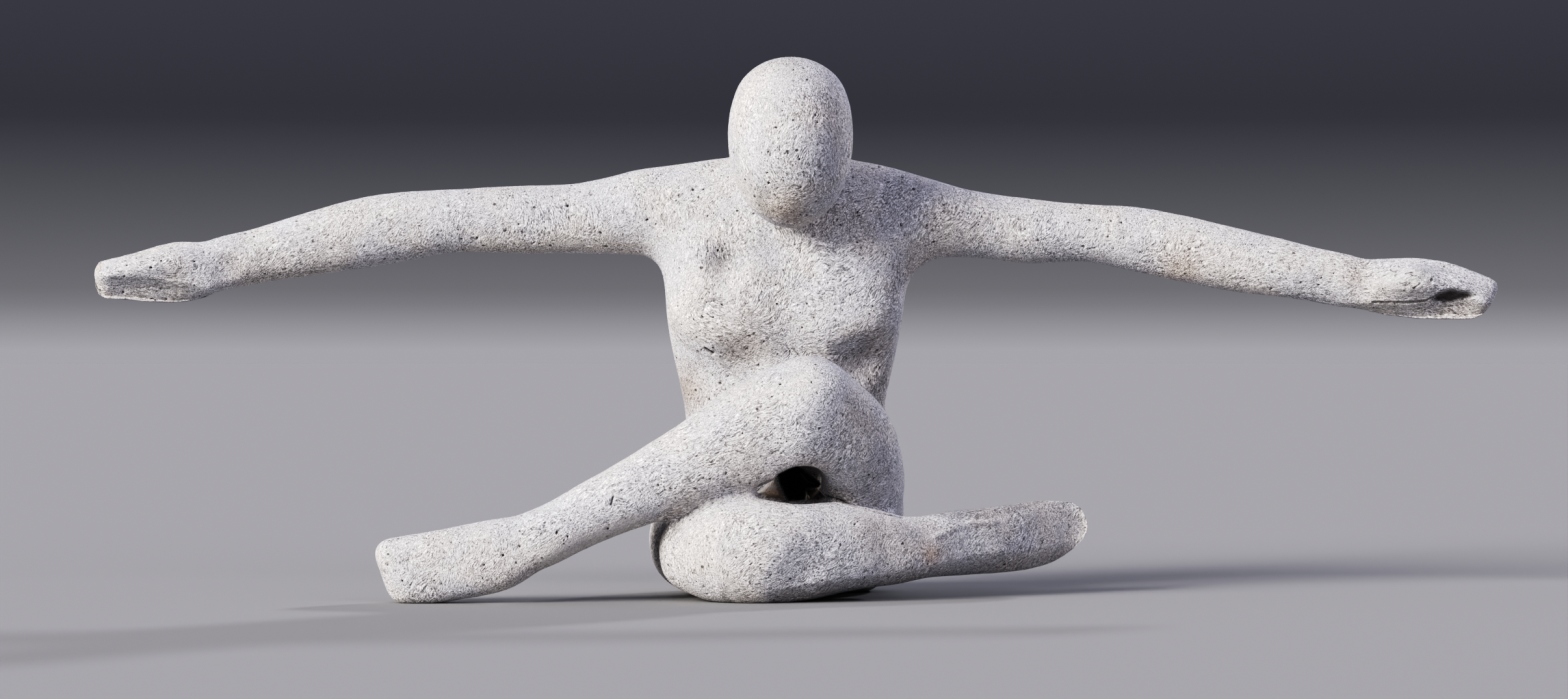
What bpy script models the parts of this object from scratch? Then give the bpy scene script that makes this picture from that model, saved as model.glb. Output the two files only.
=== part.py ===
"""A carved stone figure that sits with its legs crossed, its head bowed and both arms held out to the sides.

The whole figure is one stone. It faces -Y, and its own left arm points to +X. The floor is at Z = 0, and the
origin lies on it, under the middle of the seat.

Each limb is a loft: a smooth spine with an elliptical section at each of a few stations. A limb is read as a
field, which is the distance from its skin, negative inside it. The fields are joined with a named fillet at each
joint, carved with hollows and planes, and skinned once, so that the stone is one closed body. Blender's Decimate
and Boolean modifiers then thin its faces and saw its underside flat.
"""

from collections import namedtuple
from itertools import permutations

import bmesh
import bpy
from mathutils import Matrix, Vector
import numpy as np

# Driving dimensions, in metres: the floor to the top of the head, and one cut fingertip to the other
FIGURE_HEIGHT = 0.245
ARM_SPAN = 0.640

# Fillets between one form and the next
RIGHT_ARM_FILLET = 0.016
LEFT_ARM_FILLET = 0.022
MUSCLE_FILLET = 0.014
NECK_FILLET = 0.012
HEAD_FILLET = 0.003
HIP_FILLET = 0.007
KNEE_FILLET = 0.010
ANKLE_FILLET = 0.006
WRIST_FILLET = 0.006
CREASE_FILLET = 0.003
FURROW_FILLET = 0.008
FINGERTIP_FILLET = 0.0025
TOE_FILLET = 0.008

# The grid on which the stone is skinned, how far past its skin a limb's field is worked out, and its value beyond
GRID_STEP = 0.002
FIELD_REACH = 0.024
FAR = 1.0

# Short lengths that each stretch between two stations is stepped in
STEPS = 6

# Triangles left after thinning
FACES = 9600

STONE = {"colour": (0.62, 0.61, 0.60, 1.0), "roughness": 0.85}

# The pose is a drawing, whose stations and points scale with the figure. A station is (x, y, z, half-width along
# the limb's side direction, half-width across it). Squareness is the power of the section's curve, 2 for an
# ellipse. The cap is how far an end bulges, as a share of the narrower half-width.
Limb = namedtuple("Limb", "stations side squareness cap")
Cut = namedtuple("Cut", "point normal fillet")
Arm = namedtuple("Arm", "limb hand thumb palm fingertips")
Grid = namedtuple("Grid", "low step shape")

ACROSS = (1, 0, 0)
FORWARD = (0, 1, 0)
PALM_SIDE = (0, 1, -0.3)

HEAD = Limb(
    [
        (0, -39, 181, 15.5, 17),
        (0, -37.5, 187, 21.5, 23),
        (0, -36, 194, 25.6, 28),
        (0, -34.5, 202, 27.7, 31),
        (0, -33, 210, 28.3, 32),
        (0, -31.5, 217, 27.8, 31),
        (0, -30, 222.5, 26.4, 28.5),
    ],
    ACROSS,
    2.0,
    0.85,
)

NECK = Limb([(0, 13, 184, 23, 18), (0, 5, 198, 19, 17), (0, -10, 210, 19, 18)], ACROSS, 2.0, 0.9)

# From the base of the neck to the seat
TORSO = Limb(
    [
        (-1, 9, 183, 42, 16),
        (-2, 8, 170, 52, 24),
        (-2.4, 6, 154, 56, 28),
        (-2.6, 6, 138, 55, 28.5),
        (-2.8, 8, 120, 53, 26),
        (-2.8, 10, 102, 49, 24.5),
        (-2.6, 12, 86, 46.3, 25),
        (-1, 14, 68, 47, 28),
        (0, 16, 48, 49, 31),
        (0, 17, 25, 48, 30.5),
    ],
    ACROSS,
    2.3,
    0.92,
)

# Each half of the breast, a low broad swelling that ends above the belly
BREAST_LEFT = Limb([(22, -9.5, 154, 24, 12), (26, -10.5, 128, 22, 12)], ACROSS, 2.0, 0.95)
BREAST_RIGHT = Limb([(-26, -9.5, 154, 24, 12), (-30, -10.5, 126, 22, 12)], ACROSS, 2.0, 0.95)

SHOULDER_BLADE_LEFT = Limb([(25, 19, 168, 16, 14), (21, 20, 142, 11, 10)], ACROSS, 2.0, 1.0)
SHOULDER_BLADE_RIGHT = Limb([(-28, 19, 168, 16, 14), (-24, 20, 142, 11, 10)], ACROSS, 2.0, 1.0)
BUTTOCK_LEFT = Limb([(23, 25, 25, 24, 24), (23, 26, 22.5, 24, 24)], ACROSS, 2.0, 1.0)
BUTTOCK_RIGHT = Limb([(-23, 25, 25, 24, 24), (-23, 26, 22.5, 24, 24)], ACROSS, 2.0, 1.0)

MUSCLES = (
    BREAST_LEFT,
    BREAST_RIGHT,
    SHOULDER_BLADE_LEFT,
    SHOULDER_BLADE_RIGHT,
    BUTTOCK_LEFT,
    BUTTOCK_RIGHT,
)

# The arms, from the middle of the shoulders out to the wrist
RIGHT_ARM = Limb(
    [
        (0, 10, 179, 17, 19),
        (-35, 10, 178.8, 20, 19.5),
        (-62, 9, 177.3, 20, 20),
        (-82, 8, 174.9, 17.5, 18),
        (-100, 7, 173.4, 15.5, 16),
        (-125, 6, 173, 14.5, 15.7),
        (-155, 5, 172.4, 13.8, 14.6),
        (-180, 4, 169.6, 14, 16),
        (-200, 3, 166.2, 14, 16),
        (-222, 1, 161.3, 13, 14.4),
        (-243, -1, 156.6, 11.5, 12.7),
        (-258, -3.5, 153.6, 10, 11.4),
    ],
    FORWARD,
    2.1,
    0.9,
)
LEFT_ARM = Limb(
    [
        (0, 10, 178.5, 17, 19),
        (35, 10, 177, 20, 19.5),
        (58, 9, 174.5, 19, 18.6),
        (75, 8, 172, 16.5, 16.2),
        (93, 7, 169.8, 14.8, 15),
        (112, 6, 167.5, 14.3, 14.8),
        (135, 5, 166.9, 13.5, 13.3),
        (158, 4, 164.2, 13.8, 14.6),
        (181, 2, 159.5, 14, 15),
        (205, 0, 154.2, 13.4, 14.5),
        (232, -3, 149.2, 12, 12.8),
        (254, -5, 144.7, 10.3, 11.3),
    ],
    FORWARD,
    2.1,
    0.9,
)

RIGHT_HAND = Limb(
    [
        (-250, -3, 154.4, 8, 9),
        (-262, -5, 152, 8.4, 11),
        (-273, -6, 149.4, 8.6, 13.5),
        (-284, -7, 148.2, 8.4, 14.2),
        (-299, -8, 146.3, 7, 11.8),
        (-312, -9, 145.2, 6, 9.4),
        (-326, -10, 145, 5, 7.8),
    ],
    PALM_SIDE,
    2.3,
    0.6,
)
LEFT_HAND = Limb(
    [
        (246, -4, 146, 8, 9),
        (259, -5.5, 143.4, 8.4, 10.6),
        (272, -7, 142, 8.8, 13),
        (287, -8, 141.2, 8.6, 14.2),
        (300, -9, 139.8, 7.6, 13.6),
        (312, -10, 137.8, 6.2, 11.6),
        (322, -10, 136.8, 5, 8.6),
    ],
    PALM_SIDE,
    2.3,
    0.6,
)
RIGHT_THUMB = Limb(
    [
        (-266, -10, 152.5, 4.5, 5),
        (-282, -14, 153.4, 5.4, 6),
        (-298, -14.5, 150.2, 4, 4.4),
        (-312, -13, 147.6, 3, 3),
    ],
    PALM_SIDE,
    2.0,
    0.9,
)
LEFT_THUMB = Limb(
    [
        (264, -10.5, 144, 4.5, 5),
        (282, -15, 144.6, 6, 7.6),
        (298, -16, 142.4, 4.6, 5.4),
        (314, -13, 140.4, 3.4, 3.4),
    ],
    PALM_SIDE,
    2.0,
    0.9,
)

# The cupped palms, cut under the thumbs
RIGHT_PALM = Limb(
    [
        (-268, -20.5, 139.5, 7, 5.5),
        (-288, -21.5, 139.5, 8, 7.5),
        (-308, -20, 140, 6.5, 6),
    ],
    PALM_SIDE,
    2.0,
    1.0,
)
LEFT_PALM = Limb(
    [
        (268, -20.5, 133.5, 5.5, 3.5),
        (285, -21.5, 131.5, 7.5, 6.5),
        (302, -21.4, 132.5, 8, 6.5),
        (311, -20.8, 133.2, 6.5, 5),
    ],
    PALM_SIDE,
    2.0,
    1.0,
)

RIGHT_FINGERTIPS = Cut((-318.5, -10, 145), (-0.88, -0.45, 0.05), FINGERTIP_FILLET)
LEFT_FINGERTIPS = Cut((321.5, -10, 134), (0.86, -0.15, -0.48), FINGERTIP_FILLET)

RIGHT_REACH = Arm(RIGHT_ARM, RIGHT_HAND, RIGHT_THUMB, RIGHT_PALM, RIGHT_FINGERTIPS)
LEFT_REACH = Arm(LEFT_ARM, LEFT_HAND, LEFT_THUMB, LEFT_PALM, LEFT_FINGERTIPS)

# The left leg is raised and crosses over the right knee, and its foot lies at the figure's right
LEFT_THIGH = Limb(
    [
        (27, 18, 28, 25, 27),
        (28, 3, 43, 24, 25.5),
        (29, -13, 57, 23, 24.5),
        (22.5, -33, 73, 23.5, 24.2),
        (8, -48, 84.5, 23, 24),
    ],
    ACROSS,
    2.0,
    0.9,
)
LEFT_SHIN = Limb(
    [
        (9, -48, 84.5, 21, 24),
        (-12, -51, 75.6, 20.5, 25),
        (-36, -53, 64.8, 18.5, 20),
        (-58, -55, 54.2, 16, 17),
        (-77, -57, 45.6, 14, 14.6),
        (-94, -58, 37.4, 12.8, 13.4),
        (-110, -59, 29.4, 11.6, 12),
    ],
    FORWARD,
    2.1,
    0.9,
)
LEFT_FOOT = Limb(
    [
        (-104, -59, 31.5, 9.5, 9.5),
        (-118, -59.5, 26.2, 11.2, 13),
        (-129, -60, 21.8, 11.6, 15.8),
        (-141, -60.3, 19, 11.4, 16.2),
        (-152, -60.6, 17.1, 11, 16),
        (-165, -61, 14.8, 10.4, 16),
        (-177, -61, 13.8, 9.6, 15),
        (-190, -61, 13.4, 8.6, 12.4),
    ],
    FORWARD,
    2.6,
    0.5,
)
LEFT_TOES = Cut((-183.2, -61, 14.5), (-0.93, -0.2, -0.31), TOE_FILLET)

# The right leg lies folded on the floor: the thigh, then the knee, shin and foot, which ends at the figure's left
RIGHT_THIGH = Limb(
    [
        (-22, 20, 26, 27, 27),
        (-34, 5, 26, 27.5, 27),
        (-40, -11, 26, 25, 25),
        (-42.5, -27, 26.5, 21, 21.5),
    ],
    ACROSS,
    2.2,
    0.6,
)
RIGHT_SHIN = Limb(
    [
        (-42.5, -46, 23.4, 18, 19.6),
        (-29, -52, 22.4, 20.5, 23.4),
        (-14, -54, 22.6, 21.5, 24.6),
        (4, -52, 22.6, 20.5, 22.4),
        (20, -47.5, 23.7, 18.5, 20.4),
        (34, -42.5, 23.5, 16, 18),
        (47, -37.5, 22.4, 13.8, 15.6),
        (60, -32, 23.2, 12.4, 14.1),
        (74, -27, 24.6, 11.8, 14.8),
        (90, -21, 25.4, 11.3, 15.1),
        (104, -16, 26.5, 10.8, 15.4),
        (115, -12.5, 28.4, 10, 14.9),
        (124, -10, 30.9, 8.4, 12.6),
        (131, -8.6, 33.6, 6.6, 9),
    ],
    FORWARD,
    2.3,
    0.85,
)

# Stone left standing between the folded leg and the seat, out of sight
LAP_STONE = Limb(
    [
        (-36, -28, 20, 16, 20.5),
        (-10, -34, 20, 18, 20.5),
        (8, -34, 21, 18, 19.5),
        (24, -28, 23.5, 16, 17),
        (40, -20, 24, 14, 15),
    ],
    FORWARD,
    2.3,
    0.9,
)

# The hollow under the raised knee, cut back between the thighs, and the ledge at its right
LAP_HOLLOW = Limb(
    [
        (5, -58, 53, 10, 8.5),
        (5, -44, 52.5, 11, 9),
        (5, -28, 52, 10.5, 8.5),
        (6, -10, 52, 8, 7),
    ],
    ACROSS,
    2.5,
    0.8,
)
LAP_LEDGE = Limb([(-3, -58, 51, 11.5, 6.5), (-4, -48, 51, 11, 6.5)], ACROSS, 2.0, 0.5)

# The fold behind the right knee, where the calf lies against the thigh
KNEE_FOLD = Limb([(-66, -34, 2, 4, 3), (-64, -34, 24, 5, 3), (-56, -36, 44, 5, 3)], ACROSS, 2.0, 1.0)

# Soft furrows in the trunk
SPINE = Limb(
    [
        (-2, 38.6, 176, 5, 4),
        (-2.5, 39.4, 140, 6, 4),
        (-2.5, 39.4, 96, 6, 4),
        (0, 46, 52, 5, 3),
    ],
    ACROSS,
    2.0,
    1.0,
)
SHOULDER_HOLLOW = Limb([(-30, -30, 158, 7, 6), (-33, -32, 146, 8, 6)], ACROSS, 2.0, 1.0)
BREASTBONE = Limb([(-2, -30.5, 160, 2.5, 3), (-2, -31.5, 132, 3, 3)], ACROSS, 2.0, 1.0)

# The limbs that reach furthest out
OUTER_LIMBS = (
    HEAD,
    TORSO,
    BUTTOCK_LEFT,
    BUTTOCK_RIGHT,
    LEFT_THIGH,
    LEFT_SHIN,
    LEFT_FOOT,
    RIGHT_THIGH,
    RIGHT_SHIN,
)

# The drawing's point that becomes the origin: the floor under the middle of the seat
SEAT = np.array([0, 17, 0])

# One unit of the drawing in metres, and how much the drawn arms are stretched beyond that
UNIT = FIGURE_HEIGHT / (HEAD.stations[-1][2] + HEAD.cap * min(HEAD.stations[-1][3:]))
ARM_STRETCH = ARM_SPAN / (UNIT * (LEFT_FINGERTIPS.point[0] - RIGHT_FINGERTIPS.point[0]))


def eased(limb, stretch):
    """A limb's stations in metres, with STEPS rows to each span, on Catmull-Rom curves through them."""
    given = np.array(limb.stations, float) * UNIT * [stretch, 1, 1, 1, 1]
    padded = np.vstack([2 * given[0] - given[1], given, 2 * given[-1] - given[-2]])
    rows = []
    for before, start, end, after in zip(padded, padded[1:], padded[2:], padded[3:]):
        for share in np.arange(STEPS) / STEPS:
            linear = end - before
            square = 2 * before - 5 * start + 4 * end - after
            cube = 3 * (start - end) + after - before
            rows.append(start + 0.5 * share * (linear + share * (square + share * cube)))
    rows.append(given[-1])
    return np.array(rows)


def grid_round():
    """The grid of points that holds the whole figure with room to spare."""
    rows = [eased(limb, 1) for limb in OUTER_LIMBS]
    rows += [eased(limb, ARM_STRETCH) for arm in (RIGHT_REACH, LEFT_REACH) for limb in (arm.limb, arm.hand)]
    rows = np.vstack(rows)
    reach = rows[:, 3:].max(axis=1, keepdims=True) + 2 * GRID_STEP
    low = (rows[:, :3] - reach).min(axis=0)
    high = (rows[:, :3] + reach).max(axis=0)
    return Grid(low, GRID_STEP, tuple(np.ceil((high - low) / GRID_STEP).astype(int) + 1))


def cone_distance(points, start, end, limb):
    """Distance from the skin of one short length of a limb, near enough, for points near it."""
    along = end[:3] - start[:3]
    length = np.linalg.norm(along)
    along = along / length
    across = np.array(limb.side, float) - np.dot(limb.side, along) * along
    across = across / np.linalg.norm(across)
    up = np.cross(along, across)
    offset = points - start[:3]
    share = np.clip(offset @ along / length, 0, 1)[..., None]
    halves = start[3:] + share * (end - start)[3:]
    offset = offset - share * (end - start)[:3]
    reach = [halves[..., 0], halves[..., 1], limb.cap * halves.min(axis=-1)]
    parts = [np.abs(offset @ axis) / half for axis, half in zip((across, up, along), reach)]
    power = limb.squareness
    level = np.maximum(sum(part**power for part in parts), 1e-9) ** (1 / power)
    slope = np.sqrt(sum((part ** (power - 1) / half) ** 2 for part, half in zip(parts, reach)))
    return (level - 1) * level ** (power - 1) / np.maximum(slope, 1e-6)


def limb_field(grid, limb, stretch=1):
    """The field of one limb on the grid."""
    field = np.full(grid.shape, FAR)
    rows = eased(limb, stretch)
    for start, end in zip(rows, rows[1:]):
        reach = max(start[3:].max(), end[3:].max()) + FIELD_REACH
        low = (np.minimum(start[:3], end[:3]) - reach - grid.low) / grid.step
        high = (np.maximum(start[:3], end[:3]) + reach - grid.low) / grid.step
        low = np.clip(low.astype(int), 0, grid.shape)
        high = np.clip(high.astype(int) + 1, 0, grid.shape)
        block = tuple(slice(a, b) for a, b in zip(low, high))
        points = np.stack(np.mgrid[block], axis=-1) * grid.step + grid.low
        field[block] = np.minimum(field[block], cone_distance(points, start, end, limb))
    return field


def joined(first, second, fillet):
    """Two fields as one, with a fillet in the corner where they meet."""
    near = np.maximum(fillet - np.abs(first - second), 0) / fillet
    return np.minimum(first, second) - near**2 * fillet / 4


def hollowed(field, cutter, fillet):
    """A field with another cut out of it, with its rim rounded."""
    return -joined(-field, cutter, fillet)


def sliced(grid, field, cut, stretch=1):
    """A field with all that lies beyond a plane cut off."""
    steps = np.ogrid[tuple(slice(0, n) for n in grid.shape)]
    normal = np.array(cut.normal, float) / np.linalg.norm(cut.normal)
    point = np.array(cut.point) * UNIT * [stretch, 1, 1]
    beyond = sum(n * (s * grid.step + low - p) for n, s, low, p in zip(normal, steps, grid.low, point))
    return hollowed(field, -beyond, cut.fillet)


def arm_field(grid, arm):
    """One arm with its hand."""
    limb, hand, thumb, palm = (limb_field(grid, form, ARM_STRETCH) for form in arm[:4])
    field = hollowed(joined(hand, thumb, CREASE_FILLET), palm, CREASE_FILLET)
    return joined(limb, sliced(grid, field, arm.fingertips, ARM_STRETCH), WRIST_FILLET)


def trunk_field(grid):
    """Head, neck, trunk and arms."""
    field = limb_field(grid, TORSO)
    for muscle in MUSCLES:
        field = joined(field, limb_field(grid, muscle), MUSCLE_FILLET)
    field = joined(field, arm_field(grid, RIGHT_REACH), RIGHT_ARM_FILLET)
    field = joined(field, arm_field(grid, LEFT_REACH), LEFT_ARM_FILLET)
    for furrow in (SPINE, SHOULDER_HOLLOW, BREASTBONE):
        field = hollowed(field, limb_field(grid, furrow), FURROW_FILLET)
    field = joined(field, limb_field(grid, NECK), NECK_FILLET)
    return joined(field, limb_field(grid, HEAD), HEAD_FILLET)


def leg_fields(grid):
    """The raised left leg, and the right leg on the floor."""
    left = joined(limb_field(grid, LEFT_THIGH), limb_field(grid, LEFT_SHIN), KNEE_FILLET)
    foot = sliced(grid, limb_field(grid, LEFT_FOOT), LEFT_TOES)
    left = joined(left, foot, ANKLE_FILLET)
    right = joined(limb_field(grid, RIGHT_SHIN), limb_field(grid, RIGHT_THIGH), CREASE_FILLET)
    return left, hollowed(right, limb_field(grid, KNEE_FOLD), CREASE_FILLET)


def figure_field(grid):
    """The whole figure."""
    left, right = leg_fields(grid)
    right = joined(right, limb_field(grid, LAP_STONE), CREASE_FILLET)
    field = joined(trunk_field(grid), left, HIP_FILLET)
    field = joined(field, right, CREASE_FILLET)
    field = hollowed(field, limb_field(grid, LAP_LEDGE), CREASE_FILLET)
    return hollowed(field, limb_field(grid, LAP_HOLLOW), CREASE_FILLET)


def cell_faces():
    """Which edges of a four-cornered cell the skin crosses, by the corners that lie inside it."""
    faces = []
    for corner in range(4):
        rest = [other for other in range(4) if other != corner]
        faces.append(({corner}, [[(corner, other) for other in rest]]))
    for partner in (1, 2, 3):
        one, two = [other for other in (1, 2, 3) if other != partner]
        ring = [(0, one), (0, two), (partner, two), (partner, one)]
        faces.append(({0, partner}, [ring[:3], [ring[0], ring[2], ring[3]]]))
    return faces


def crossed_cells(field):
    """The grid cells that the skin passes through."""
    inside = field < 0
    count = np.zeros([n - 1 for n in field.shape], int)
    for corner in np.ndindex(2, 2, 2):
        count += inside[tuple(slice(c, n - 1 + c) for c, n in zip(corner, field.shape))]
    return np.argwhere((count > 0) & (count < 8))


def skinned(field):
    """Points, in grid steps, and triangles that face out. Each cell is split into six with four corners each."""
    cells = crossed_cells(field)
    number = np.arange(field.size).reshape(field.shape)
    edges = []
    for one, two, _ in permutations(np.eye(3, dtype=int)):
        corners = np.stack([cells, cells + one, cells + one + two, cells + 1], axis=1)
        where = tuple(np.moveaxis(corners, -1, 0))
        inside = field[where] < 0
        for within, triangles in cell_faces():
            flags = np.array([corner in within for corner in range(4)])
            for side in (1, -1):
                rows = np.flatnonzero((inside == (flags if side == 1 else ~flags)).all(axis=1))
                spots = corners[rows]
                outward = side * (spots[:, ~flags].mean(axis=1) - spots[:, flags].mean(axis=1))
                for triangle in triangles:
                    middle = np.stack([spots[:, list(pair)].mean(axis=1) for pair in triangle], axis=1)
                    facing = np.cross(middle[:, 1] - middle[:, 0], middle[:, 2] - middle[:, 0])
                    back = (facing * outward).sum(axis=1) < 0
                    pairs = np.stack([number[where][rows][:, list(pair)] for pair in triangle], axis=1)
                    pairs[back] = pairs[back][:, ::-1]
                    edges.append(np.sort(pairs, axis=2))
    edges = np.vstack(edges)
    keys, triangles = np.unique(edges[..., 0] * field.size + edges[..., 1], return_inverse=True)
    ends = np.stack(np.divmod(keys, field.size))
    first, second = field.ravel()[ends]
    spots = np.stack(np.unravel_index(ends, field.shape), axis=-1).astype(float)
    share = (first / (first - second))[:, None]
    return spots[0] + share * (spots[1] - spots[0]), triangles.reshape(-1, 3)


def stone_material():
    """Pale grey sandstone, sanded but not polished."""
    material = bpy.data.materials.new("sandstone")
    material.use_nodes = True
    shader = material.node_tree.nodes["Principled BSDF"]
    shader.inputs["Base Color"].default_value = STONE["colour"]
    shader.inputs["Roughness"].default_value = STONE["roughness"]
    shader.inputs["Metallic"].default_value = 0.0
    return material


def floor_cutter():
    """A box that fills all below the floor and saws the underside flat."""
    size = Vector((2 * ARM_SPAN, ARM_SPAN, FIGURE_HEIGHT))
    mesh = bpy.data.meshes.new("floor_cutter")
    bm = bmesh.new()
    place = Matrix.Translation((0, 0, -size.z / 2)) @ Matrix.Diagonal((*size, 1))
    bmesh.ops.create_cube(bm, size=1.0, matrix=place)
    bm.to_mesh(mesh)
    bm.free()
    cutter = bpy.data.objects.new("floor_cutter", mesh)
    bpy.context.scene.collection.objects.link(cutter)
    cutter.hide_render = True
    cutter.display_type = "WIRE"
    return cutter


def carve_figure():
    """The figure as one object, with its faces thinned and its underside sawn flat."""
    grid = grid_round()
    points, triangles = skinned(figure_field(grid))
    points = points * grid.step + grid.low - SEAT * UNIT
    mesh = bpy.data.meshes.new("figure")
    mesh.from_pydata(points.tolist(), [], triangles.tolist())
    mesh.materials.append(stone_material())
    mesh.shade_smooth()
    figure = bpy.data.objects.new("figure", mesh)
    bpy.context.scene.collection.objects.link(figure)
    thin = figure.modifiers.new("thin faces", "DECIMATE")
    thin.ratio = FACES / len(triangles)
    thin.use_collapse_triangulate = True
    saw = figure.modifiers.new("saw the underside", "BOOLEAN")
    saw.operation = "DIFFERENCE"
    saw.object = floor_cutter()
    return figure


def main():
    for obj in list(bpy.data.objects):
        bpy.data.objects.remove(obj)
    carve_figure()


main()
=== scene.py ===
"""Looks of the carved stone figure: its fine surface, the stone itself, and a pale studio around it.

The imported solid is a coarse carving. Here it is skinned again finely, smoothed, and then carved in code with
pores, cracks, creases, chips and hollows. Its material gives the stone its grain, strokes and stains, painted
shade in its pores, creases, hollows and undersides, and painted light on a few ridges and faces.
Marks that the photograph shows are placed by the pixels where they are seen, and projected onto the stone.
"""

from collections import namedtuple
import math

import bmesh
import bpy
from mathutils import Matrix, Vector, noise
from mathutils.bvhtree import BVHTree
import numpy as np


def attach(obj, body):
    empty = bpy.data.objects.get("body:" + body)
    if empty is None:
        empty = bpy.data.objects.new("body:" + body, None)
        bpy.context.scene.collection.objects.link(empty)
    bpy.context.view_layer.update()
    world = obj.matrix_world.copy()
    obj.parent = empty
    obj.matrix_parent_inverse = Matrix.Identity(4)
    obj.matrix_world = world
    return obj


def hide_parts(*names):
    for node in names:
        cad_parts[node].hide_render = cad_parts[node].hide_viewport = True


MM = 0.001

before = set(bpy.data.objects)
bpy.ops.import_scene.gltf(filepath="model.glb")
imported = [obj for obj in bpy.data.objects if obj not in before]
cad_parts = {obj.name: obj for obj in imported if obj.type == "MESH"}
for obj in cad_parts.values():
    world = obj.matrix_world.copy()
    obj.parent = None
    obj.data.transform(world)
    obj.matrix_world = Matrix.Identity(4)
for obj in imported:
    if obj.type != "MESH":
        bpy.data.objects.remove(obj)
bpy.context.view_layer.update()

# The camera stands level in front of the figure, and the photograph's frame is this many pixels
PHOTO_WIDTH = 2412
PHOTO_HEIGHT = 1075
CAMERA_PLACE = Vector((-0.003, -1.817, 0.1129))
PIXELS_PER_SLOPE = 6000
SENSOR_WIDTH = 36

# Scene brightness against shown brightness
TONES = ((0, 0), (0.06, 0.019), (0.12, 0.065), (0.2, 0.16), (0.3, 0.32), (0.42, 0.49), (0.6, 0.66),
         (0.85, 0.775), (1.3, 0.94))

# The fine skin: its first grid, how many rounds of smoothing take the facets out, and its triangles when done
SKIN_STEP = 1.5 * MM
SMOOTHING_ROUNDS = 20
MARK_MARGIN = 0.7 * MM
TRIANGLES = 197000

# Slow unevenness left by hand carving: wavelength and height
UNEVENNESS = ((16 * MM, 0.20 * MM), (6 * MM, 0.07 * MM))

# A patch presses stone whose normal's Y is below the limit, and fully where it is lower by the fade or more.
# Nothing stops a press at the stone's own thickness, so a deep one passes through where the stone is thin.
PRESS_LIMIT = 0.35
PRESS_FADE = 0.5

# A rough patch's lumps: the wavelengths of the small and broad ones, and the share of the broad ones
LUMP_SIZE = 1.6 * MM
BROAD_LUMP_SIZE = 4 * MM
BROAD_LUMP_SHARE = 0.6

# Pits deeper than the first level are darkened, and knobs over the second are paler, more so on rougher
# patches
PIT_LEVEL = 0.25
PIT_HEIGHT = 0.5 * MM
KNOB_LEVEL = 0.2
KNOB_HEIGHT = 0.6 * MM

# A cut's edge wanders: the wavelength, the most it moves as a share of the cut, and how many ways it is drawn
CRUMB_SIZE = 1.3 * MM
CRUMB_SWING = 0.5
CRUMB_DRAWS = 17

# How far a cut is looked for: a crumbly one's share of its half width, and a margin for both kinds
CRUMB_SPREAD = 1.3
CUT_MARGIN = 0.4 * MM

# The pale broken edge of a cut: where it lies, as a share of the half width, and how wide it is either way
EDGE_PLACE = 1.15
EDGE_WIDTH = 0.3

# How many of its own reaches a painted shade spot or a rust stain is followed for, and how strong the painted
# shade is
SPOT_FADE = 2.2
PAINTED_SHADE_SHARE = 0.45

# A named pore's depth as a share of its width, and how crumbly pores are
PORE_DEPTH = 0.8
PORE_CRUMBLE = 0.3

# Linear colours of the stone, and what rust multiplies them by. The pale colour also serves as painted light,
# and the pore colour as painted shade.
WARM_STONE = (0.585, 0.561, 0.542, 1)
COOL_STONE = (0.547, 0.544, 0.560, 1)
PALE_AND_LIT_STONE = (0.760, 0.740, 0.710, 1)
PORE_AND_SHADE_COLOUR = (0.045, 0.040, 0.038, 1)
RUST_TINT = (1.0, 0.80, 0.62)

# How finely the strokes vary per metre: along them, into the stone and across them
LEAN_GRAIN = (520, 1850, 2000)
LONG_GRAIN = (190, 1500, 1600)
SCRATCH_GRAIN = (170, 1700, 1900)
BUMP_DEPTH = 0.4 * MM

FLOOR_COLOUR = (0.34, 0.34, 0.339, 1)
FLOOR_RADIUS = 30

# How high above the horizon, as a share of straight up, and how bright the studio is there
STUDIO = (
    (0.0, (0.340, 0.337, 0.358, 1)),
    (0.014, (0.200, 0.200, 0.212, 1)),
    (0.06, (0.080, 0.080, 0.095, 1)),
    (0.7, (0.36, 0.36, 0.43, 1)),
)

# A pore where the photograph shows one: its pixel and its width in millimetres
Pore = namedtuple("Pore", "x y width")

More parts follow.
